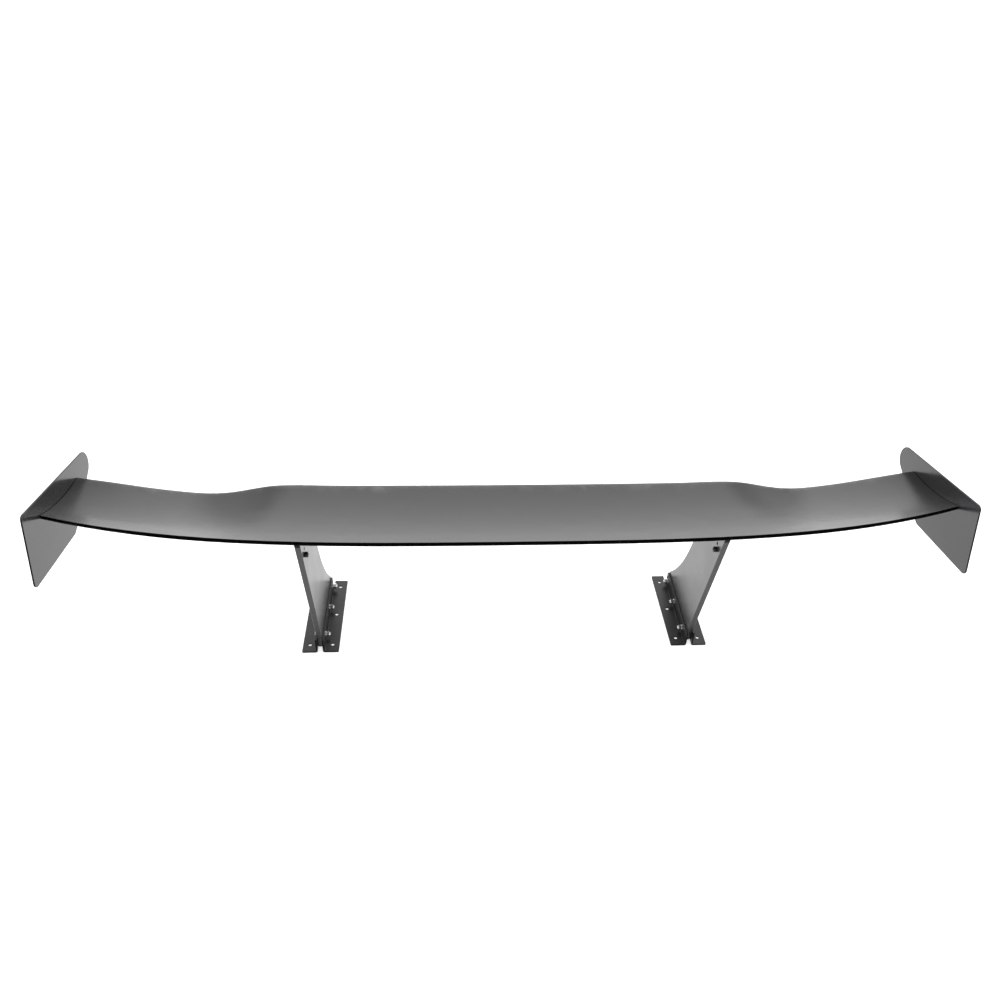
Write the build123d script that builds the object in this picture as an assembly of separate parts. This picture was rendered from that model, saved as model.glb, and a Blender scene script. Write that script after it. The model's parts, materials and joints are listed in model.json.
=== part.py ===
from build123d import *
import math
import os

# Racing rear wing on two uprights. Millimetres. +X runs across the car to its right, +Y is forward,
# +Z is up, and the base brackets stand on Z = 0. X = 0 is the plane of symmetry.

# Overall size
SPAN = 1600.0  # over the outer faces of the two endplates
ENDPLATE_THICKNESS = 3.0
BLADE_HALF_SPAN = SPAN / 2 - ENDPLATE_THICKNESS

# Blade planform and twist. The blade is swept back in the middle, and its nose is raised there.
NOSE_Y_CENTRE = 47.1
NOSE_Y_TIP = 95.1
NOSE_Z_CENTRE = 324.7
NOSE_Z_DIP = 300.2
NOSE_Z_TIP = 313.1
TAIL_Y_CENTRE = -152.7
TAIL_Y_TIP = -69.3
TAIL_Z_CENTRE = 349.9
TAIL_Z_TIP = 350.1
SWEEP_POWER = 3.25
RAISED_HALF_SPAN = 400.0  # the raised middle ends here
DIP_X = 555.0  # the nose is lowest here
STATIONS = [0.0, 130.0, 250.0, 340.0, 400.0, 435.0, 470.0, 510.0, 555.0, 600.0, 650.0, 700.0, 745.0,
            780.0, BLADE_HALF_SPAN]

# Blade section, as fractions of the chord, measured from the nose back to the tail
CAMBER_SAG = 0.05
NOSE_DROP = 0.03
NOSE_ROUND = 0.05
TAIL_THICKNESS = 0.037
BELLY = 0.31
BELLY_POWER = 0.6
SECTION_STEPS = 16
SKIN = 1.5
BOND_GAP = 0.2

# Parts inside the blade, as fractions of the chord
FRONT_SPAR = (0.15, 0.18)
REAR_SPAR = (0.70, 0.73)
BLOCK_CHORD = (0.215, 0.68)
BLOCK_WIDTH = 30.0
CAVITY_CHORD = (0.04, 0.92)
RIB_WIDTH = 10.0

# Endplate outline, corners in (Y, Z) with their radii
ENDPLATE_CORNERS = [(-120.1, 387.2), (206.3, 325.1), (24.3, 234.7), (-155.2, 260.0)]
ENDPLATE_RADII = [9.0, 25.0, 22.0, 9.0]
ENDPLATE_SCREW_CHORD = (0.14, 0.38, 0.60)
EDGE_BREAK = 0.4  # chamfer along the edges of the plates

# Uprights
UPRIGHT_INNER_X = 359.25
UPRIGHT_THICKNESS = 10.0
UPRIGHT_OUTER_X = UPRIGHT_INNER_X + UPRIGHT_THICKNESS
UPRIGHT_REAR_TOP = (-133.7, 332.9)
UPRIGHT_REAR_FOOT = (-49.7, 4.5)
UPRIGHT_FRONT_TOP = (-16.7, 289.4)
UPRIGHT_FRONT_CURVE = [(13.3, 210.0), (41.3, 140.4), (73.8, 86.0)]
UPRIGHT_FRONT_FOOT = (115.3, 37.0)
UPRIGHT_BOTTOM_Z = 1.0

# Angle adjustment: a pivot at the front, and an arc of lock holes behind it
PIVOT = (-34.0, 275.0)
PIVOT_RADIUS = 4.0
RUNNING_CLEARANCE = 0.05
LOCK_ARC_RADIUS = 73.0
LOCK_ANGLE = 170.1  # of the lowest hole about the pivot, from +Y towards +Z
LOCK_HOLE_PITCH = 9.0
LOCK_HOLES = 3
TRAVEL = LOCK_HOLE_PITCH * (LOCK_HOLES - 1)
LOCK_RADIUS = 3.0
LOCK_HOLE_RADIUS = 3.3
SLOT_CLEARANCE = 0.4

# Pocket in the outer face of each upright, in which the bracket's tab turns
POCKET_DEPTH = 3.25
POCKET_RADIUS = 79.1
POCKET_OUTLINE = [(-120.0, 251.5), (10.0, 264.5), (10.0, 345.0), (-120.0, 345.0)]
SIDE_GAP = 0.3
TAB_THICKNESS = 2.5
TAB_INNER_X = UPRIGHT_OUTER_X - POCKET_DEPTH + SIDE_GAP
TAB_OUTER_X = TAB_INNER_X + TAB_THICKNESS
NUT_SEAT_X = TAB_OUTER_X + SIDE_GAP

# Bracket under the blade: its tab in (Y, Z), and the flange along the blade's underside
TAB_CHORD = (0.26, 0.74)  # where the tab meets the blade
TAB_RIM_RADIUS = 78.6
TAB_RIM_ANGLES = (145.0, 192.5)
TAB_LOWER_EDGE = [(-106.0, 256.0), (-32.0, 264.0), (-22.0, 270.0)]
SEAT_BITE = 0.6  # how far the bracket is drawn into the skin before the blade is cut from it
FLANGE_CHORD = (0.26, 0.66)
FLANGE_THICKNESS = 3.0
SEAT_GAP = 0.1  # the screw heads sit just clear of the flange's curved face
FLANGE_OUTER_X = 398.0
FLANGE_SCREW_CHORD = (0.33, 0.46, 0.59)
FLANGE_SCREW_X = 386.0

# Base brackets: two angles to each upright
BASE_REAR_Y = -64.7
BASE_LENGTH = 203.0
BASE_LEG_LENGTH = 183.0  # the standing leg stops short at the front
BASE_INNER_EDGE_X = 328.7
BASE_OUTER_EDGE_X = 399.8
BASE_THICKNESS = 3.0
BASE_LEG_HEIGHT = 33.0
BEND_RADIUS = 4.5
LEG_TOP_RADIUS = 3.0
FLAT_CORNER_RADIUS = 2.0
BASE_HOLE_RADIUS = 3.5
BASE_HOLE_Y = (-45.9, 37.7, 119.4)
BASE_HOLE_INSET = 13.5
BASE_BOLT_Y = (-28.7, 46.3, 109.3)
BASE_BOLT_Z = 14.3

# Fasteners. Screw threads are plain cylinders of the thread's outer radius.
M6 = {"r": 3.0, "across": 10.0, "head": 4.0, "nut": 6.0, "washer_r": 6.0, "washer": 1.2}
M5 = {"r": 2.5, "head_r": 4.75, "head": 2.75, "washer_r": 5.5, "washer": 1.0}
LOCK_SCREW = {"head_r": 5.0, "head": 6.0, "socket_across": 5.0, "socket_depth": 3.0}
PIVOT_HEAD = {"across": 13.0, "head": 5.0}
THIN_NUT = 3.2
BRACKET_INSERT = {"r": 4.0, "length": 7.0, "depth": 6.0}  # depth of the middle below the skin
RIB_INSERT_RADIUS = 3.5
BRACKET_SCREW_LENGTH = 11.0
HOLE_EASE = 0.25
THREAD_GAP = 0.02  # round a screw in its nut or insert
END_CHAMFER = 0.6
PIVOT_THREAD_END = 3.5  # past the nut
BASE_THREAD_END = 2.0
BASE_BOLT_HEAD_X = UPRIGHT_OUTER_X + BASE_THICKNESS + M6["washer"]
BASE_NUT_X = UPRIGHT_INNER_X - BASE_THICKNESS - M6["washer"]
DRILL = 1.0  # how far a cutting tool reaches past each face


def half_wave(value, start, end):
    """Smooth 0 to 1 ramp between two stations."""
    part = min(max((value - start) / (end - start), 0.0), 1.0)
    return (1 - math.cos(math.pi * part)) / 2


def nose_point(x):
    """(Y, Z) of the blade's nose at one span station."""
    sweep = (abs(x) / BLADE_HALF_SPAN) ** SWEEP_POWER
    drop = (NOSE_Z_CENTRE - NOSE_Z_DIP) * half_wave(abs(x), RAISED_HALF_SPAN, DIP_X)
    rise = (NOSE_Z_TIP - NOSE_Z_DIP) * half_wave(abs(x), DIP_X, BLADE_HALF_SPAN)
    return NOSE_Y_CENTRE + (NOSE_Y_TIP - NOSE_Y_CENTRE) * sweep, NOSE_Z_CENTRE - drop + rise


def tail_point(x):
    """(Y, Z) of the blade's upper tail edge at one span station."""
    share = abs(x) / BLADE_HALF_SPAN
    y = TAIL_Y_CENTRE + (TAIL_Y_TIP - TAIL_Y_CENTRE) * share**SWEEP_POWER
    return y, TAIL_Z_CENTRE + (TAIL_Z_TIP - TAIL_Z_CENTRE) * share**2


def chord_length(x):
    """Nose to tail at one span station."""
    nose = nose_point(x)
    tail = tail_point(x)
    return math.hypot(tail[0] - nose[0], tail[1] - nose[1])


def section_direction(x, along, up):
    """Turn a direction in the section's own axes into a vector."""
    nose = nose_point(x)
    tail = tail_point(x)
    chord = chord_length(x)
    back = ((tail[0] - nose[0]) / chord, (tail[1] - nose[1]) / chord)
    return Vector(0, along * back[0] + up * back[1], along * back[1] - up * back[0])


def section_point(x, along, up):
    """Turn chord fractions into a point of the blade."""
    nose = nose_point(x)
    return Vector(x, *nose) + section_direction(x, along, up) * chord_length(x)


def upper_height(t):
    """Height of the upper surface above the chord line."""
    reach = min(t / NOSE_ROUND, 1.0)
    return -4 * CAMBER_SAG * t * (1 - t) - NOSE_DROP * (1 - math.sqrt(reach * (2 - reach)))


def lower_height(t):
    """Height of the lower surface above the chord line, always negative."""
    return -NOSE_DROP * (1 - t) - TAIL_THICKNESS * t - BELLY * t**BELLY_POWER * (1 - t)


def inset_point(height, t, depth, side):
    """Move a point of a surface into the blade. side is -1 for the upper surface, 1 for the lower."""
    if t >= 1:
        return 1.0, height(1.0) + side * depth
    if t <= 0:
        return depth, height(0.0)
    step = 1e-4
    slope = (height(t + step) - height(t - step)) / (2 * step)
    size = math.hypot(1, slope)
    return t - side * slope * depth / size, height(t) + side * depth / size


def surface_edge(x, height, side, inset=0.0, start=0.0, end=1.0):
    """Spline along a blade surface from start to end, moved inwards by inset millimetres."""
    depth = inset / chord_length(x)
    steps = [start + (end - start) * (1 - math.cos(math.pi * i / SECTION_STEPS)) / 2
             for i in range(SECTION_STEPS + 1)]
    points = [section_point(x, *inset_point(height, t, depth, side)) for t in steps]
    if start > 0 or end < 1:
        return Spline(*points)
    nose_tangent = section_direction(x, 0, -side)
    tail_tangent = section_direction(x, 1.0, (height(1.0) - height(0.99)) / 0.01)
    return Spline(*points, tangents=[nose_tangent, tail_tangent], tangent_scalars=[1.0, 1.0])


def closed_section(first, second):
    """Face between two edges that run the same way."""
    ends = [Line(first @ 0, second @ 0)] if (first @ 0 - second @ 0).length > 0.001 else []
    ends.append(Line(first @ 1, second @ 1))
    return Wire([first, second] + ends)


def all_stations():
    """Span stations from the left tip to the right tip."""
    return [-x for x in reversed(STATIONS[1:])] + STATIONS


def blade_loft(section):
    """Solid through one closed section at every station."""
    return Solid.make_loft([section(x) for x in all_stations()])


def make_blade_envelope():
    """The blade's outer shape as one solid, used for cutting."""
    def section(x):
        return closed_section(surface_edge(x, upper_height, -1), surface_edge(x, lower_height, 1))
    return blade_loft(section)


def make_skin(height, side):
    """One of the blade's two moulded skins."""
    def section(x):
        return closed_section(surface_edge(x, height, side), surface_edge(x, height, side, SKIN))
    return blade_loft(section)


def make_lower_skin():
    """The lower skin, drilled for both brackets' screws."""
    body = make_skin(lower_height, 1)
    for seat, inward in flange_screw_seats():
        hole = Plane(origin=seat, z_dir=inward) * Cylinder(M5["r"] + HOLE_EASE, 4 * SKIN)
        body -= hole
        body -= mirror(hole, about=Plane.YZ)
    return body


def slab_section(x, chord_range, gap):
    """Closed section between the skins over part of the chord."""
    upper = surface_edge(x, upper_height, -1, SKIN + gap, *chord_range)
    lower = surface_edge(x, lower_height, 1, SKIN + gap, *chord_range)
    return closed_section(upper, lower)


def make_spar(chord_range):
    """A web between the skins, from tip rib to tip rib."""
    reach = BLADE_HALF_SPAN - RIB_WIDTH - BOND_GAP
    stations = [x for x in all_stations() if abs(x) < reach]
    stations = [-reach] + stations + [reach]
    return Solid.make_loft([slab_section(x, chord_range, BOND_GAP) for x in stations])


def make_cavity():
    """The room between the skins, used for the ribs and blocks."""
    return blade_loft(lambda x: slab_section(x, CAVITY_CHORD, BOND_GAP))


def inner_block(cavity, start_x, end_x, front_y, rear_y):
    """The part of the cavity inside a range of X and Y."""
    height = 200.0
    place = Pos((start_x + end_x) / 2, (front_y + rear_y) / 2, NOSE_Z_CENTRE)
    return cavity & place * Box(end_x - start_x, front_y - rear_y, height)


def rod(start_x, length, y, z, radius):
    """Cylinder along X."""
    return Pos(start_x + length / 2, y, z) * Rot(0, 90, 0) * Cylinder(radius, length)


def bore(start_x, length, y, z, radius):
    """Cutting tool for a hole along X through start_x to start_x + length."""
    return rod(start_x - DRILL, length + 2 * DRILL, y, z, radius)


def tube(start_x, length, y, z, outer, inner):
    """Ring along X."""
    return rod(start_x, length, y, z, outer) - bore(start_x, length, y, z, inner)


def hex_head(start_x, length, y, z, across):
    """Hexagonal prism along X with rounded-off corners."""
    hexagon = RegularPolygon(radius=across / 2, side_count=6, major_radius=False)
    prism = Pos(start_x, y, z) * Rot(0, 90, 0) * extrude(hexagon, length)
    over_corners = across / math.sqrt(3)
    barrel = rod(start_x, length, y, z, over_corners)
    return prism & chamfer(barrel.edges().filter_by(GeomType.CIRCLE), END_CHAMFER)


def hex_nut(start_x, length, y, z, across):
    """Nut for an M6 thread."""
    return hex_head(start_x, length, y, z, across) - bore(start_x, length, y, z, M6["r"] + THREAD_GAP)


def button_head_screw(seat, direction, shank_radius, shank, head_radius, head):
    """Screw with a domed head and a hexagon socket. The shank leaves the seat along direction."""
    dome = head_radius * 1.5
    sphere = Pos(0, 0, head - dome) * Sphere(dome)
    body = Pos(0, 0, head / 2) * Cylinder(head_radius, head) & sphere
    body += Pos(0, 0, -shank / 2) * Cylinder(shank_radius, shank)
    socket = RegularPolygon(radius=shank_radius * 0.62, side_count=6, major_radius=False)
    body -= Pos(0, 0, head * 0.4) * extrude(socket, head)
    return Plane(origin=seat, z_dir=-direction) * body


def plate(start_x, thickness, outline, radii):
    """Plate across X from corners in (Y, Z) and the radius of each corner."""
    line = Polyline(*[(y, z) for y, z in outline], close=True)
    face = make_face(line)
    for corner, radius in zip(outline, radii):
        nearest = face.vertices().sort_by_distance((corner[0], corner[1], 0))[0]
        face = fillet(nearest, radius)
    return side_extrusion(face, start_x, thickness)


def make_endplate():
    """Flat plate on the blade's right end, with its screw holes."""
    body = plate(BLADE_HALF_SPAN, ENDPLATE_THICKNESS, ENDPLATE_CORNERS, ENDPLATE_RADII)
    body = chamfer(body.faces().filter_by(Axis.X).edges(), EDGE_BREAK)
    for y, z in endplate_screw_places():
        body -= bore(BLADE_HALF_SPAN, ENDPLATE_THICKNESS, y, z, M5["r"] + HOLE_EASE)
    return body


def endplate_screw_places():
    """(Y, Z) of the screws, half way between the two skins at the tip."""
    places = []
    for t in ENDPLATE_SCREW_CHORD:
        point = section_point(BLADE_HALF_SPAN, t, (upper_height(t) + lower_height(t)) / 2)
        places.append((point.Y, point.Z))
    return places


def about_pivot(radius, degrees):
    """(Y, Z) of a point about the pivot, its angle measured from +Y towards +Z."""
    angle = math.radians(degrees)
    return PIVOT[0] + radius * math.cos(angle), PIVOT[1] + radius * math.sin(angle)


def lock_hole(index):
    """(Y, Z) of one of the lock holes, counted upwards from the lowest."""
    return about_pivot(LOCK_ARC_RADIUS, LOCK_ANGLE - index * LOCK_HOLE_PITCH)


def side_extrusion(face, start_x, length):
    """Extrude a face drawn in (Y, Z) along X."""
    return Plane(origin=(start_x, 0, 0), x_dir=(0, 1, 0), z_dir=(1, 0, 0)) * extrude(face, length)


def make_pocket():
    """Cutting tool for the pocket: a disc about the pivot, cut off below the tab."""
    disc = Pos(*PIVOT) * Circle(POCKET_RADIUS)
    face = disc & make_face(Polyline(*POCKET_OUTLINE, close=True))
    return side_extrusion(face, UPRIGHT_OUTER_X - POCKET_DEPTH, POCKET_DEPTH + DRILL)


def make_upright():
    """Right upright: straight rear edge, hollow-curved front edge, pocket for the tab."""
    edges = [
        Line(UPRIGHT_REAR_TOP, UPRIGHT_FRONT_TOP),
        Spline(UPRIGHT_FRONT_TOP, *UPRIGHT_FRONT_CURVE, UPRIGHT_FRONT_FOOT),
        Line(UPRIGHT_FRONT_FOOT, (UPRIGHT_FRONT_FOOT[0], UPRIGHT_BOTTOM_Z)),
        Line((UPRIGHT_FRONT_FOOT[0], UPRIGHT_BOTTOM_Z), (UPRIGHT_REAR_FOOT[0], UPRIGHT_BOTTOM_Z)),
        Line((UPRIGHT_REAR_FOOT[0], UPRIGHT_BOTTOM_Z), UPRIGHT_REAR_FOOT),
        Line(UPRIGHT_REAR_FOOT, UPRIGHT_REAR_TOP),
    ]
    face = make_face(edges)
    body = side_extrusion(face, UPRIGHT_INNER_X, UPRIGHT_THICKNESS)
    body = chamfer(body.faces().filter_by(Axis.X).edges(), EDGE_BREAK) - make_pocket()
    holes = [lock_hole(i) + (LOCK_HOLE_RADIUS,) for i in range(LOCK_HOLES)]
    holes.append(PIVOT + (PIVOT_RADIUS + RUNNING_CLEARANCE,))
    holes += [(y, BASE_BOLT_Z, M6["r"] + HOLE_EASE) for y in BASE_BOLT_Y]
    for y, z, radius in holes:
        body -= bore(UPRIGHT_INNER_X, UPRIGHT_THICKNESS, y, z, radius)
    return body


def make_lock_slot():
    """Arc slot that lets the tab turn past the fixed lock screw."""
    width = LOCK_RADIUS + SLOT_CLEARANCE
    places = [about_pivot(LOCK_ARC_RADIUS, LOCK_ANGLE + TRAVEL * part) for part in (0, 0.5, 1)]
    slot = SlotArc(ThreePointArc(*places), 2 * width)
    return side_extrusion(slot, TAB_INNER_X - DRILL, TAB_THICKNESS + 2 * DRILL)


def flange_screw_seats():
    """Screw places on the blade's underside, with the direction into the blade."""
    seats = []
    for t in FLANGE_SCREW_CHORD:
        point = section_point(FLANGE_SCREW_X, t, lower_height(t))
        slope = (lower_height(t + 0.01) - lower_height(t - 0.01)) / 0.02
        seats.append((point, section_direction(FLANGE_SCREW_X, -slope, 1).normalized()))
    return seats


def make_wing_bracket(envelope):
    """Angle bracket: a flange screwed under the blade and a tab in the upright's pocket."""
    tab_top = surface_edge(TAB_INNER_X, lower_height, 1, SEAT_BITE, *TAB_CHORD)
    first, last = TAB_RIM_ANGLES
    rim_places = [about_pivot(TAB_RIM_RADIUS, angle) for angle in (first, (first + last) / 2, last)]
    rim = ThreePointArc(*[(TAB_INNER_X, y, z) for y, z in rim_places])
    lower = Polyline(rim @ 1, *[(TAB_INNER_X, y, z) for y, z in TAB_LOWER_EDGE], tab_top @ 0)
    outline = Wire([tab_top, Line(tab_top @ 1, rim @ 0), rim] + lower.edges())
    tab = extrude(Face(outline), TAB_THICKNESS, dir=(1, 0, 0))
    under = surface_edge(FLANGE_SCREW_X, lower_height, 1, -FLANGE_THICKNESS, *FLANGE_CHORD)
    over = surface_edge(FLANGE_SCREW_X, lower_height, 1, SEAT_BITE, *FLANGE_CHORD)
    flange = extrude(Face(closed_section(under, over)), FLANGE_OUTER_X - TAB_INNER_X, dir=(1, 0, 0))
    body = tab + Pos(TAB_INNER_X - FLANGE_SCREW_X, 0, 0) * flange - envelope
    body -= bore(TAB_INNER_X, TAB_THICKNESS, *PIVOT, PIVOT_RADIUS + RUNNING_CLEARANCE)
    body -= make_lock_slot()
    for seat, inward in flange_screw_seats():
        body -= Plane(origin=seat, z_dir=inward) * Cylinder(M5["r"] + HOLE_EASE, 4 * FLANGE_THICKNESS)
    return body


def make_bracket_screws():
    """Three screws up through the flange."""
    screws = []
    for seat, inward in flange_screw_seats():
        head_seat = seat - inward * (FLANGE_THICKNESS + SEAT_GAP)
        screws.append(button_head_screw(head_seat, inward, M5["r"], BRACKET_SCREW_LENGTH,
                                        M5["head_r"], M5["head"]))
    return Compound(children=screws)


def make_bracket_inserts():
    """Threaded inserts for the flange screws."""
    inserts = []
    length = BRACKET_INSERT["length"]
    for seat, inward in flange_screw_seats():
        ring = Cylinder(BRACKET_INSERT["r"], length) - Cylinder(M5["r"] + THREAD_GAP, 2 * length)
        inserts.append(Plane(origin=seat + inward * BRACKET_INSERT["depth"], z_dir=inward) * ring)
    return Compound(children=inserts)


def make_mount_block(cavity):
    """Solid block inside the blade above the bracket."""
    start = FLANGE_SCREW_X - BLOCK_WIDTH / 2
    front_y, rear_y = [section_point(FLANGE_SCREW_X, t, 0).Y for t in BLOCK_CHORD]
    body = inner_block(cavity, start, start + BLOCK_WIDTH, front_y, rear_y)
    for seat, inward in flange_screw_seats():
        middle = Plane(origin=seat + inward * BRACKET_INSERT["depth"], z_dir=inward)
        body -= middle * Cylinder(BRACKET_INSERT["r"], BRACKET_INSERT["length"] + THREAD_GAP)
        body -= Plane(origin=seat, z_dir=inward) * Cylinder(M5["r"] + HOLE_EASE, 2 * BRACKET_SCREW_LENGTH)
    return body


def make_end_rib(cavity):
    """Rib that closes the blade's right end and holds the endplate's inserts."""
    body = inner_block(cavity, BLADE_HALF_SPAN - RIB_WIDTH, BLADE_HALF_SPAN, SPAN / 2, -SPAN / 2)
    for y, z in endplate_screw_places():
        body -= bore(BLADE_HALF_SPAN - RIB_WIDTH, RIB_WIDTH, y, z, RIB_INSERT_RADIUS)
    return body


def make_endplate_inserts():
    """Threaded inserts in the rib."""
    rings = [tube(BLADE_HALF_SPAN - RIB_WIDTH, RIB_WIDTH, y, z, RIB_INSERT_RADIUS, M5["r"] + THREAD_GAP)
             for y, z in endplate_screw_places()]
    return Compound(children=rings)


def make_endplate_screws():
    """Button-head screws from outside."""
    seat_x = SPAN / 2 + M5["washer"]
    screws = [button_head_screw(Vector(seat_x, y, z), Vector(-1, 0, 0), M5["r"],
                                RIB_WIDTH + ENDPLATE_THICKNESS, M5["head_r"], M5["head"])
              for y, z in endplate_screw_places()]
    return Compound(children=screws)


def make_endplate_washers():
    """Flat washers under the endplate screws."""
    rings = [tube(SPAN / 2, M5["washer"], y, z, M5["washer_r"], M5["r"] + HOLE_EASE)
             for y, z in endplate_screw_places()]
    return Compound(children=rings)


def make_pivot_bolt():
    """Shoulder bolt through the upright and the tab, head on the inner side."""
    head_x = UPRIGHT_INNER_X - PIVOT_HEAD["head"]
    head = hex_head(head_x, PIVOT_HEAD["head"], *PIVOT, PIVOT_HEAD["across"])
    shank = rod(UPRIGHT_INNER_X, NUT_SEAT_X - UPRIGHT_INNER_X, *PIVOT, PIVOT_RADIUS)
    thread = rod(NUT_SEAT_X, THIN_NUT + PIVOT_THREAD_END, *PIVOT, M6["r"])
    far_edge = thread.edges().filter_by(GeomType.CIRCLE).sort_by(Axis.X)[-1]
    return head + shank + chamfer(far_edge, END_CHAMFER)


def make_pivot_nut():
    """Thin nut on the pivot bolt's threaded end."""
    return hex_nut(NUT_SEAT_X, THIN_NUT, *PIVOT, PIVOT_HEAD["across"])


def make_lock_screw():
    """Cap screw in the lowest lock hole, its end level with the tab's outer face."""
    place = lock_hole(0)
    head_x = UPRIGHT_INNER_X - LOCK_SCREW["head"]
    head = rod(head_x, LOCK_SCREW["head"], *place, LOCK_SCREW["head_r"])
    head = chamfer(head.edges().filter_by(GeomType.CIRCLE), END_CHAMFER)
    socket_start = head_x - DRILL
    socket = hex_head(socket_start, DRILL + LOCK_SCREW["socket_depth"], *place, LOCK_SCREW["socket_across"])
    return head - socket + rod(UPRIGHT_INNER_X, TAB_OUTER_X - UPRIGHT_INNER_X, *place, LOCK_RADIUS)


def make_base_bracket(edge_x, leg_x):
    """Bent angle: a flat leg out to edge_x and a standing leg whose face touches the upright at leg_x."""
    side = 1 if edge_x > leg_x else -1
    width = abs(edge_x - leg_x)
    outline = [(0, 0), (width, 0), (width, BASE_THICKNESS), (BASE_THICKNESS, BASE_THICKNESS),
               (BASE_THICKNESS, BASE_LEG_HEIGHT), (0, BASE_LEG_HEIGHT)]
    face = make_face(Polyline(*outline, close=True))
    bends = [(outline[0], BEND_RADIUS), (outline[3], BEND_RADIUS - BASE_THICKNESS)]
    for corner, radius in bends:
        nearest = face.vertices().sort_by_distance((corner[0], corner[1], 0))[0]
        face = fillet(nearest, radius)
    frame = Plane(origin=(0, BASE_REAR_Y + BASE_LEG_LENGTH, 0), x_dir=(1, 0, 0), z_dir=(0, -1, 0))
    body = frame * extrude(face, BASE_LEG_LENGTH)
    flat_width = width - BEND_RADIUS
    flat_y = BASE_REAR_Y + BASE_LENGTH / 2
    body += Pos(BEND_RADIUS + flat_width / 2, flat_y, BASE_THICKNESS / 2) * Box(
        flat_width, BASE_LENGTH, BASE_THICKNESS)
    body = fillet(body.edges().filter_by(Axis.X).group_by(Axis.Z)[-1], LEG_TOP_RADIUS)
    body = fillet(body.edges().filter_by(Axis.Z).group_by(Axis.X)[-1], FLAT_CORNER_RADIUS)
    for y in BASE_HOLE_Y:
        place = Pos(width - BASE_HOLE_INSET, y, BASE_THICKNESS / 2)
        body -= place * Cylinder(BASE_HOLE_RADIUS, BASE_THICKNESS + 2 * DRILL)
    for y in BASE_BOLT_Y:
        body -= bore(0, BASE_THICKNESS, y, BASE_BOLT_Z, M6["r"] + HOLE_EASE)
    if side < 0:
        body = mirror(body, about=Plane.YZ)
    return Pos(leg_x, 0, 0) * body


def make_base_bolts():
    """Hexagon bolts through both standing legs and the upright."""
    bolts = []
    for y in BASE_BOLT_Y:
        head = hex_head(BASE_BOLT_HEAD_X, M6["head"], y, BASE_BOLT_Z, M6["across"])
        start = BASE_NUT_X - M6["nut"] - BASE_THREAD_END
        shank = rod(start, BASE_BOLT_HEAD_X - start, y, BASE_BOLT_Z, M6["r"])
        shank = chamfer(shank.edges().filter_by(GeomType.CIRCLE).sort_by(Axis.X)[0], END_CHAMFER)
        bolts.append(head + shank)
    return Compound(children=bolts)


def make_base_nuts():
    """Nuts on the inner side."""
    nuts = [hex_nut(BASE_NUT_X - M6["nut"], M6["nut"], y, BASE_BOLT_Z, M6["across"])
            for y in BASE_BOLT_Y]
    return Compound(children=nuts)


def make_base_washers():
    """A washer under each head and each nut."""
    rings = []
    for y in BASE_BOLT_Y:
        for x in (BASE_NUT_X, UPRIGHT_OUTER_X + BASE_THICKNESS):
            rings.append(tube(x, M6["washer"], y, BASE_BOLT_Z, M6["washer_r"], M6["r"] + HOLE_EASE))
    return Compound(children=rings)


def write(shape, name):
    """Write one node."""
    export_step(shape, f"parts/{name}.step")


def main():
    os.makedirs("parts", exist_ok=True)
    envelope = make_blade_envelope()
    cavity = make_cavity()
    write(make_skin(upper_height, -1), "blade_upper_skin")
    write(make_lower_skin(), "blade_lower_skin")
    write(make_spar(FRONT_SPAR), "front_spar_web")
    write(make_spar(REAR_SPAR), "rear_spar_web")
    right_parts = {
        "endplate": make_endplate(),
        "endplate_screws": make_endplate_screws(),
        "endplate_washers": make_endplate_washers(),
        "endplate_inserts": make_endplate_inserts(),
        "end_rib": make_end_rib(cavity),
        "mount_block": make_mount_block(cavity),
        "bracket_inserts": make_bracket_inserts(),
        "bracket_screws": make_bracket_screws(),
        "wing_bracket": make_wing_bracket(envelope),
        "upright": make_upright(),
        "pivot_bolt": make_pivot_bolt(),
        "pivot_nut": make_pivot_nut(),
        "lock_screw": make_lock_screw(),
        "inner_base_bracket": make_base_bracket(BASE_INNER_EDGE_X, UPRIGHT_INNER_X),
        "outer_base_bracket": make_base_bracket(BASE_OUTER_EDGE_X, UPRIGHT_OUTER_X),
        "base_bolts": make_base_bolts(),
        "base_nuts": make_base_nuts(),
        "base_washers": make_base_washers(),
    }
    for name, shape in right_parts.items():
        write(shape, f"right_{name}")
        write(mirror(shape, about=Plane.YZ), f"left_{name}")


main()
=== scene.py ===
import json
import math

import bpy
from mathutils import Matrix, Vector


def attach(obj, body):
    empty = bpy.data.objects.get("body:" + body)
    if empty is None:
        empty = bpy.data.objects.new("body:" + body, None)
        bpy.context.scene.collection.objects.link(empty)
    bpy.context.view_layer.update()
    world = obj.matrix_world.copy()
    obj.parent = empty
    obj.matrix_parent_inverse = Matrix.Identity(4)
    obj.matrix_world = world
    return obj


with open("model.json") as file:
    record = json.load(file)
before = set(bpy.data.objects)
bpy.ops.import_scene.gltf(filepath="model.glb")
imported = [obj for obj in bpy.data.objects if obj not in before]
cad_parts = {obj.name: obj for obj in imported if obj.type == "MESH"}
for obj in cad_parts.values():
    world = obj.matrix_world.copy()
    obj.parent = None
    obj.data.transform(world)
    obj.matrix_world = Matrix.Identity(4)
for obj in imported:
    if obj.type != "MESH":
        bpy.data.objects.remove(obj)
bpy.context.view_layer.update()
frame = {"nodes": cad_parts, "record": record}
nodes = frame["nodes"]
SIDES = {"left": -1, "right": 1}

# The photographed view, for a camera behind the wing and above it. Metres and degrees.
CAMERA_PLACE = (-0.1121, -1.2537, 1.2732)
CAMERA_YAW = 4.25
CAMERA_PITCH = 37.15
CAMERA_ROLL = 2.03
CAMERA_LENS = 31.33
SENSOR = 36.0

SATIN = (0.022, 0.0225, 0.0235)  # the black that the blade, endplates and uprights share
PAINTED_SHADE_BLACK = (0.003, 0.003, 0.003)  # painted shade: near-black colour for the edges and seams that the studio leaves in shade
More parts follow.
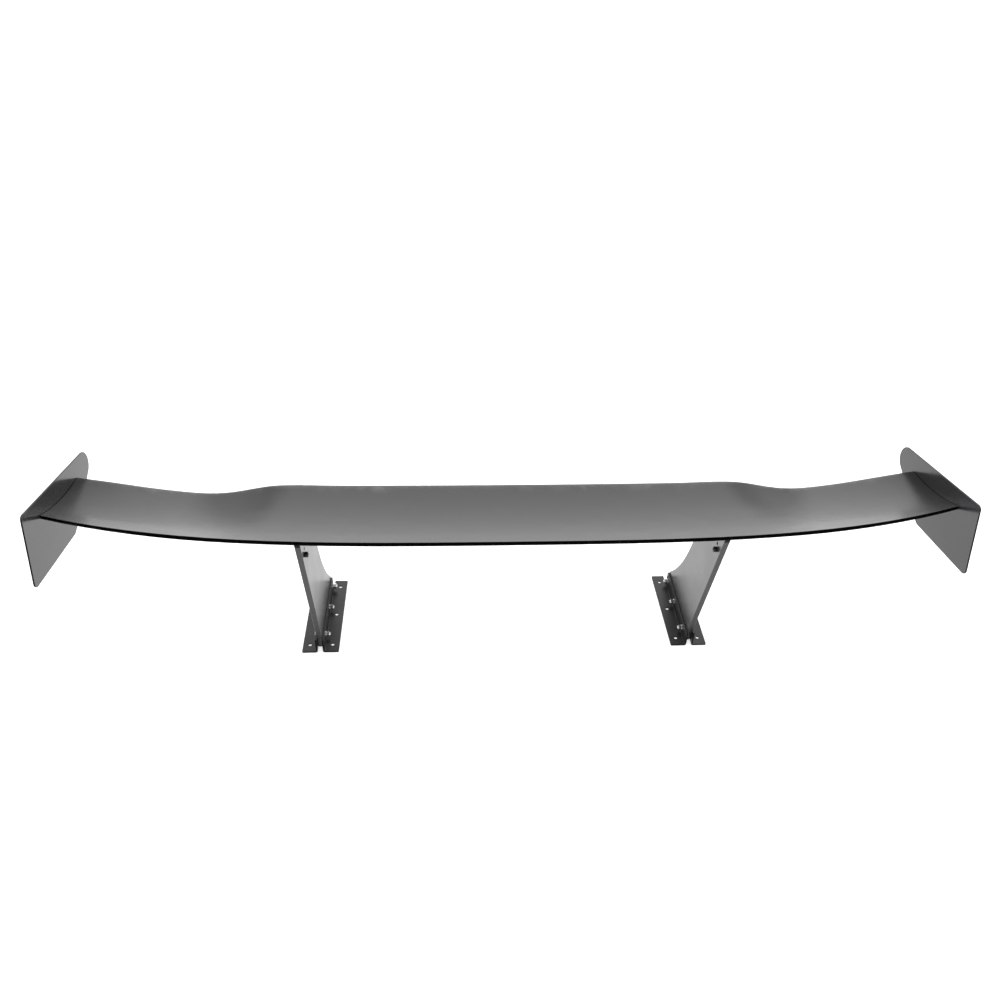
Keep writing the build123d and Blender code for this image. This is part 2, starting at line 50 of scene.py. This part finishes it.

# Studio: an even white room, brighter in a wide panel ahead of the camera. Directions are unit vectors.
ROOM_LIGHT = 1.0
PANEL_LIGHT = 0.95  # what the panel adds to the room
PANEL_CENTRE = 0.065
PANEL_HALF_WIDTH = (0.27, 0.37)
FLOOR_GLOW = 0.66  # lifts the floor to a studio white, and leaves contact shadows faint


# ---- Materials ---------------------------------------------------------------------------------

SHADED_END_X = 0.7955  # the last of the blade beside each endplate, in shadow
TOP_EDGE_Z = 0.3235  # above this, the uprights' edges sit in the shade of the tail
MASK_BLUR = 0.0006  # over which those two masks fade in
FLOOR_REACH = 14.0  # from the middle to each side


class Nodes:
    """Short calls for building a node tree."""

    def __init__(self, tree):
        self.tree = tree

    def node(self, kind, **settings):
        made = self.tree.nodes.new(kind)
        for key, value in settings.items():
            setattr(made, key, value)
        return made

    def link(self, source, target):
        self.tree.links.new(source, target)

    def along(self, vector, axis):
        """One coordinate of a vector."""
        axes = self.node("ShaderNodeSeparateXYZ")
        self.link(vector, axes.inputs["Vector"])
        return axes.outputs[axis]

    def ramp(self, value, low, high, out_low=0.0, out_high=1.0):
        """Map value from low..high to out_low..out_high."""
        made = self.node("ShaderNodeMapRange")
        for key, number in zip(("From Min", "From Max", "To Min", "To Max"), (low, high, out_low, out_high)):
            made.inputs[key].default_value = number
        self.link(value, made.inputs["Value"])
        return made.outputs["Result"]

    def math(self, operation, first, second=0.0):
        """Do arithmetic on two values, each given as a number or as a socket."""
        made = self.node("ShaderNodeMath", operation=operation)
        for socket, value in zip(made.inputs, (first, second)):
            if isinstance(value, (int, float)):
                socket.default_value = value
            else:
                self.link(value, socket)
        return made.outputs["Value"]


class Shader(Nodes):
    """A material under construction: a Principled shader and the nodes that feed it."""

    def __init__(self, name, colour, metallic, roughness):
        self.material = bpy.data.materials.new(name)
        self.material.use_nodes = True
        super().__init__(self.material.node_tree)
        self.shader = self.tree.nodes["Principled BSDF"]
        self.set("Base Color", (*colour, 1))
        self.set("Metallic", metallic)
        self.set("Roughness", roughness)
        self.place = self.node("ShaderNodeTexCoord").outputs["Object"]

    def set(self, socket, value):
        self.shader.inputs[socket].default_value = value

    def stretched(self, scale, turn=(0, 0, 0)):
        """Object coordinates scaled differently along each axis."""
        mapping = self.node("ShaderNodeMapping")
        mapping.inputs["Scale"].default_value = scale
        mapping.inputs["Rotation"].default_value = turn
        self.link(self.place, mapping.inputs["Vector"])
        return mapping.outputs["Vector"]

    def noise(self, scale, detail=4.0, rough=0.55, vector=None):
        made = self.node("ShaderNodeTexNoise")
        made.inputs["Scale"].default_value = scale
        made.inputs["Detail"].default_value = detail
        made.inputs["Roughness"].default_value = rough
        self.link(vector or self.place, made.inputs["Vector"])
        return made.outputs["Fac"]

    def mix_colour(self, factor, first, second):
        """Mix two colours, each given as three numbers or as a socket."""
        made = self.node("ShaderNodeMix", data_type="RGBA")
        self.link(factor, made.inputs["Factor"])
        sockets = [socket for socket in made.inputs if socket.type == "RGBA"]
        for socket, colour in zip(sockets, (first, second)):
            if isinstance(colour, tuple):
                socket.default_value = (*colour, 1)
            else:
                self.link(colour, socket)
        return next(socket for socket in made.outputs if socket.type == "RGBA")

    def bump(self, height, distance, strength=1.0, normal=None):
        made = self.node("ShaderNodeBump")
        made.inputs["Distance"].default_value = distance
        made.inputs["Strength"].default_value = strength
        self.link(height, made.inputs["Height"])
        if normal:
            self.link(normal, made.inputs["Normal"])
        return made.outputs["Normal"]

    def facing(self, axis):
        """How far the true surface direction points along an axis, -1 to 1."""
        return self.along(self.node("ShaderNodeNewGeometry").outputs["True Normal"], axis)

    def soft_edges(self, radius):
        """Normals rounded over the edges, in shading only."""
        made = self.node("ShaderNodeBevel", samples=4)
        made.inputs["Radius"].default_value = radius
        return made.outputs["Normal"]

    def finish(self, colour=None, roughness=None, normal=None, metallic=None):
        """Connect whatever varies over the surface. A metallic mask over near-black hides the gloss, which
        paints shade where it is used.
        """
        sources = {"Base Color": colour, "Roughness": roughness, "Normal": normal, "Metallic": metallic}
        for socket, source in sources.items():
            if source:
                self.link(source, self.shader.inputs[socket])
        return self.material


def blade_black():
    """Satin black moulded skin: faint orange peel, slow waves, dust and a few rubbed patches, with painted
    shade: near-black on the tail face and beside the endplates.
    """
    s = Shader("satin_black_moulding", SATIN, 0.0, 0.2)
    s.set("IOR", 1.5)
    # Painted shade: the tail face and the blade beside each endplate are coloured near-black, and the
    # metallic mask damps their gloss.
    tail_face_shade = s.ramp(s.facing("Y"), -0.86, -0.90)
    endplate_shade = s.ramp(s.math("ABSOLUTE", s.along(s.place, "X")), SHADED_END_X, SHADED_END_X + MASK_BLUR)
    painted_shade = s.math("MAXIMUM", tail_face_shade, endplate_shade)
    patches = s.noise(5.0, 3.0)
    dust = s.noise(55.0, 6.0, 0.7)
    rubs = s.noise(9.0, 5.0, 0.6, s.stretched((0.5, 2.2, 1.0)))
    rub_mask = s.ramp(rubs, 0.60, 0.74)
    skin = s.mix_colour(s.math("MULTIPLY", rub_mask, s.ramp(dust, 0.45, 0.7)), SATIN, (0.044, 0.044, 0.045))
    colour = s.mix_colour(painted_shade, skin, PAINTED_SHADE_BLACK)
    rough = s.math("ADD", s.ramp(patches, 0.3, 0.7, 0.18, 0.23), s.ramp(rub_mask, 0, 1, 0.0, 0.04))
    rough = s.math("ADD", rough, s.math("MULTIPLY", painted_shade, 0.4))
    peel = s.bump(s.noise(420.0, 2.0), 0.00012, 0.25)
    waves = s.bump(s.noise(7.0, 1.0), 0.0012, 0.08, peel)
    return s.finish(colour, rough, waves, painted_shade)


def powder_black(name, colour, roughness, grain):
    """Powder coat on sheet metal: fine texture, colour a little uneven, and faces that look rearward painted
    near-black as shade.
    """
    s = Shader(name, colour, 0.0, roughness)
    s.set("IOR", 1.5)
    patches = s.noise(12.0, 4.0)
    lighter = tuple(c * 1.35 for c in colour)
    tint = s.mix_colour(s.ramp(patches, 0.35, 0.75), colour, lighter)
    # Painted shade: faces that look rearward are coloured near-black and their gloss is damped.
    rear_shade = s.ramp(s.facing("Y"), -0.65, -0.85)
    rough = s.ramp(s.noise(40.0, 4.0), 0.3, 0.7, roughness - 0.03, roughness + 0.04)
    texture = s.bump(s.noise(grain, 3.0, 0.6), 0.00012, 0.3, s.soft_edges(0.0007))
    return s.finish(s.mix_colour(rear_shade, tint, PAINTED_SHADE_BLACK), rough, texture, rear_shade)


def milled_black():
    """Black anodised plate whose sawn edges show fine slanting tool marks. Painted shade: the edges are
    darkened by damping their gloss, more lower down, and are near-black under the tail.
    """
    s = Shader("black_anodised_plate", SATIN, 0.0, 0.3)
    s.set("IOR", 1.62)
    edge = s.ramp(s.math("ABSOLUTE", s.facing("X")), 0.5, 0.3)
    marks = s.node("ShaderNodeTexWave", wave_type="BANDS", bands_direction="DIAGONAL")
    marks.inputs["Scale"].default_value = 240.0
    marks.inputs["Distortion"].default_value = 2.5
    marks.inputs["Detail"].default_value = 3.0
    s.link(s.place, marks.inputs["Vector"])
    streaks = s.math("MULTIPLY", marks.outputs["Fac"], edge)
    clouds = s.noise(14.0, 4.0, 0.5)
    # Painted shade: the edges high up, under the tail, are coloured near-black.
    tail_shade = s.math("MULTIPLY", edge, s.ramp(s.along(s.place, "Z"), TOP_EDGE_Z, TOP_EDGE_Z + MASK_BLUR))
    plate = s.mix_colour(s.math("MULTIPLY", streaks, 0.5), SATIN, (0.05, 0.05, 0.052))
    colour = s.mix_colour(tail_shade, plate, PAINTED_SHADE_BLACK)
    base = s.ramp(clouds, 0.3, 0.7, 0.27, 0.32)
    rough = s.math("ADD", base, s.math("MULTIPLY", edge, 0.14))
    relief = s.bump(streaks, 0.0001, 0.3, s.soft_edges(0.0006))
    fine = s.bump(s.noise(700.0, 2.0), 0.00004, 0.2, relief)
    # Painted shade: the edges' gloss is damped through the metallic mask, more lower down, so they read
    # darker.
    shade = s.ramp(s.along(s.place, "Z"), 0.02, 0.18, 0.85, 0.5)
    painted_dimming = s.math("MAXIMUM", tail_shade, s.math("MULTIPLY", edge, shade))
    return s.finish(colour, rough, fine, painted_dimming)


def bright_zinc():
    """Zinc-plated steel: bright, cool, a little blotchy."""
    s = Shader("bright_zinc", (0.86, 0.87, 0.89), 1.0, 0.2)
    blotches = s.noise(260.0, 4.0)
    colour = s.mix_colour(s.ramp(blotches, 0.3, 0.75), (0.80, 0.81, 0.84), (0.93, 0.92, 0.89))
    rough = s.ramp(s.noise(500.0, 3.0), 0.3, 0.7, 0.14, 0.26)
    return s.finish(colour, rough, s.bump(s.noise(900.0, 3.0), 0.00006, 0.4))


def black_oxide():
    """Oiled black oxide on steel screws."""
    s = Shader("black_oxide", (0.006, 0.006, 0.006), 0.0, 0.45)
    s.set("IOR", 1.35)
    wear = s.noise(350.0, 4.0)
    colour = s.mix_colour(s.ramp(wear, 0.55, 0.8), (0.005, 0.005, 0.005), (0.024, 0.023, 0.022))
    rough = s.ramp(s.noise(600.0, 3.0), 0.3, 0.7, 0.38, 0.52)
    return s.finish(colour, rough, s.bump(wear, 0.00005, 0.4))


def turned_brass():
    """Turned brass with rings of tool marks."""
    s = Shader("turned_brass", (0.72, 0.53, 0.26), 1.0, 0.3)
    tarnish = s.noise(300.0, 4.0)
    colour = s.mix_colour(s.ramp(tarnish, 0.35, 0.75), (0.74, 0.55, 0.27), (0.48, 0.34, 0.17))
    rough = s.ramp(tarnish, 0.3, 0.7, 0.24, 0.4)
    return s.finish(colour, rough, s.bump(s.noise(800.0, 2.0, 0.5, s.stretched((8, 1, 1))), 0.00006, 0.5))


def raw_moulding():
    """Rough inner moulding and webs, with a faint fibre grain."""
    s = Shader("raw_inner_moulding", (0.07, 0.07, 0.068), 0.0, 0.6)
    fibres = s.noise(120.0, 6.0, 0.7, s.stretched((0.3, 1, 1), (0, 0, 0.6)))
    colour = s.mix_colour(s.ramp(fibres, 0.3, 0.7), (0.055, 0.055, 0.053), (0.10, 0.10, 0.096))
    rough = s.ramp(fibres, 0.3, 0.7, 0.5, 0.7)
    return s.finish(colour, rough, s.bump(fibres, 0.0003, 0.5))


FINISHES = {
    "blade_black": blade_black(),
    "inner_moulding": raw_moulding(),
    "endplate_black": powder_black("endplate_powder_coat", (0.022, 0.0225, 0.0235), 0.19, 900.0),
    "upright_black": milled_black(),
    "bracket_black": powder_black("bracket_powder_coat", (0.006, 0.006, 0.0065), 0.4, 700.0),
    "zinc_hardware": bright_zinc(),
    "black_screws": black_oxide(),
    "brass_inserts": turned_brass(),
}

for part in frame["record"]["subparts"]:
    finish = FINISHES[part["material_slot"]]
    materials = nodes[part["node"]].data.materials
    for index in range(len(materials)):
        materials[index] = finish


# ---- Screw threads -----------------------------------------------------------------------------

# Metres. The bolts' free ends are plain rods of this radius: M6 with 1 mm pitch.
THREAD_RADIUS = 0.003
THREAD_PITCH = 0.001
RIDGE_HALF_WIDTH = 0.00025
RIDGE_RISE = 0.00012
STEPS_PER_TURN = 28

# Where each ridge starts and ends along X, for the right side, and where the bolts are in Y and Z
BASE_THREAD_X = (0.3488, 0.3479)
BASE_BOLT_PLACES = ((-0.0287, 0.0143), (0.0463, 0.0143), (0.1093, 0.0143))
PIVOT_THREAD_X = (0.3726, 0.3749)
PIVOT_PLACE = (-0.034, 0.275)


def thread_ridge(name, start, end, y, z):
    """Closed helical ridge of triangular section, standing on a bolt's end between two places along X."""
    section = ((-RIDGE_HALF_WIDTH, -RIDGE_RISE), (0.0, RIDGE_RISE), (RIDGE_HALF_WIDTH, -RIDGE_RISE))
    steps = round(abs(end - start) / THREAD_PITCH * STEPS_PER_TURN)
    points = []
    for step in range(steps + 1):
        angle = math.tau * step / STEPS_PER_TURN
        middle = start + (end - start) * step / steps
        for offset, rise in section:
            reach = THREAD_RADIUS + rise
            points.append((middle + offset, y + reach * math.cos(angle), z + reach * math.sin(angle)))
    faces = [(0, 1, 2), (3 * steps + 2, 3 * steps + 1, 3 * steps)]
    for first in range(0, 3 * steps, 3):
        for corner in range(3):
            after = (corner + 1) % 3
            faces.append((first + corner, first + corner + 3, first + after + 3, first + after))
    mesh = bpy.data.meshes.new(name)
    mesh.from_pydata(points, [], faces)
    mesh.materials.append(FINISHES["zinc_hardware"])
    ridge = bpy.data.objects.new(name, mesh)
    bpy.context.scene.collection.objects.link(ridge)
    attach(ridge, "stand")


for side, sign in SIDES.items():
    for number, (y, z) in enumerate(BASE_BOLT_PLACES):
        thread_ridge(f"{side}_base_thread_{number}", *(sign * x for x in BASE_THREAD_X), y, z)
    thread_ridge(f"{side}_pivot_thread", *(sign * x for x in PIVOT_THREAD_X), *PIVOT_PLACE)


# ---- Stage, light and camera -------------------------------------------------------------------

def make_floor():
    """Plain pale floor, far wider than the wing."""
    mesh = bpy.data.meshes.new("floor")
    corners = [(x * FLOOR_REACH, y * FLOOR_REACH, 0) for x, y in ((-1, -1), (1, -1), (1, 1), (-1, 1))]
    mesh.from_pydata(corners, [], [(0, 1, 2, 3)])
    floor = bpy.data.objects.new("floor", mesh)
    bpy.context.scene.collection.objects.link(floor)
    s = Shader("pale_floor", (0.93, 0.93, 0.93), 0.0, 0.9)
    s.set("Specular IOR Level", 0.1)
    s.set("Emission Color", (1, 1, 1, 1))
    s.set("Emission Strength", FLOOR_GLOW)
    mottle = s.noise(3.0, 3.0)
    mesh.materials.append(s.finish(s.mix_colour(mottle, (0.92, 0.92, 0.92), (0.94, 0.94, 0.94))))


def make_world():
    """White room with a wide brighter panel ahead of the camera."""
    world = bpy.data.worlds.new("studio")
    world.use_nodes = True
    studio = Nodes(world.node_tree)
    direction = studio.node("ShaderNodeTexCoord").outputs["Generated"]
    aside = studio.math("ABSOLUTE", studio.math("SUBTRACT", studio.along(direction, "X"), PANEL_CENTRE))
    panel = studio.ramp(aside, *PANEL_HALF_WIDTH, PANEL_LIGHT, 0.0)
    ahead = studio.ramp(studio.along(direction, "Y"), 0.0, 0.3)
    strength = studio.math("ADD", studio.math("MULTIPLY", panel, ahead), ROOM_LIGHT)
    background = studio.tree.nodes["Background"]
    background.inputs["Color"].default_value = (1, 1, 1, 1)
    studio.link(strength, background.inputs["Strength"])
    bpy.context.scene.world = world


def make_camera():
    """The photograph's viewing angle."""
    yaw, pitch, roll = (math.radians(a) for a in (CAMERA_YAW, CAMERA_PITCH, CAMERA_ROLL))
    ahead = Vector((math.sin(yaw) * math.cos(pitch), math.cos(yaw) * math.cos(pitch), -math.sin(pitch)))
    level = Vector((math.cos(yaw), -math.sin(yaw), 0))
    upright = level.cross(ahead)
    right = math.cos(roll) * level + math.sin(roll) * upright
    up = -math.sin(roll) * level + math.cos(roll) * upright
    data = bpy.data.cameras.new("camera")
    data.lens = CAMERA_LENS
    data.sensor_width = SENSOR
    camera = bpy.data.objects.new("camera", data)
    turn = Matrix((right, up, -ahead)).transposed().to_4x4()
    camera.matrix_world = Matrix.Translation(CAMERA_PLACE) @ turn
    bpy.context.scene.collection.objects.link(camera)
    bpy.context.scene.camera = camera


make_floor()
make_world()
make_camera()
bpy.context.scene.view_settings.view_transform = "Standard"
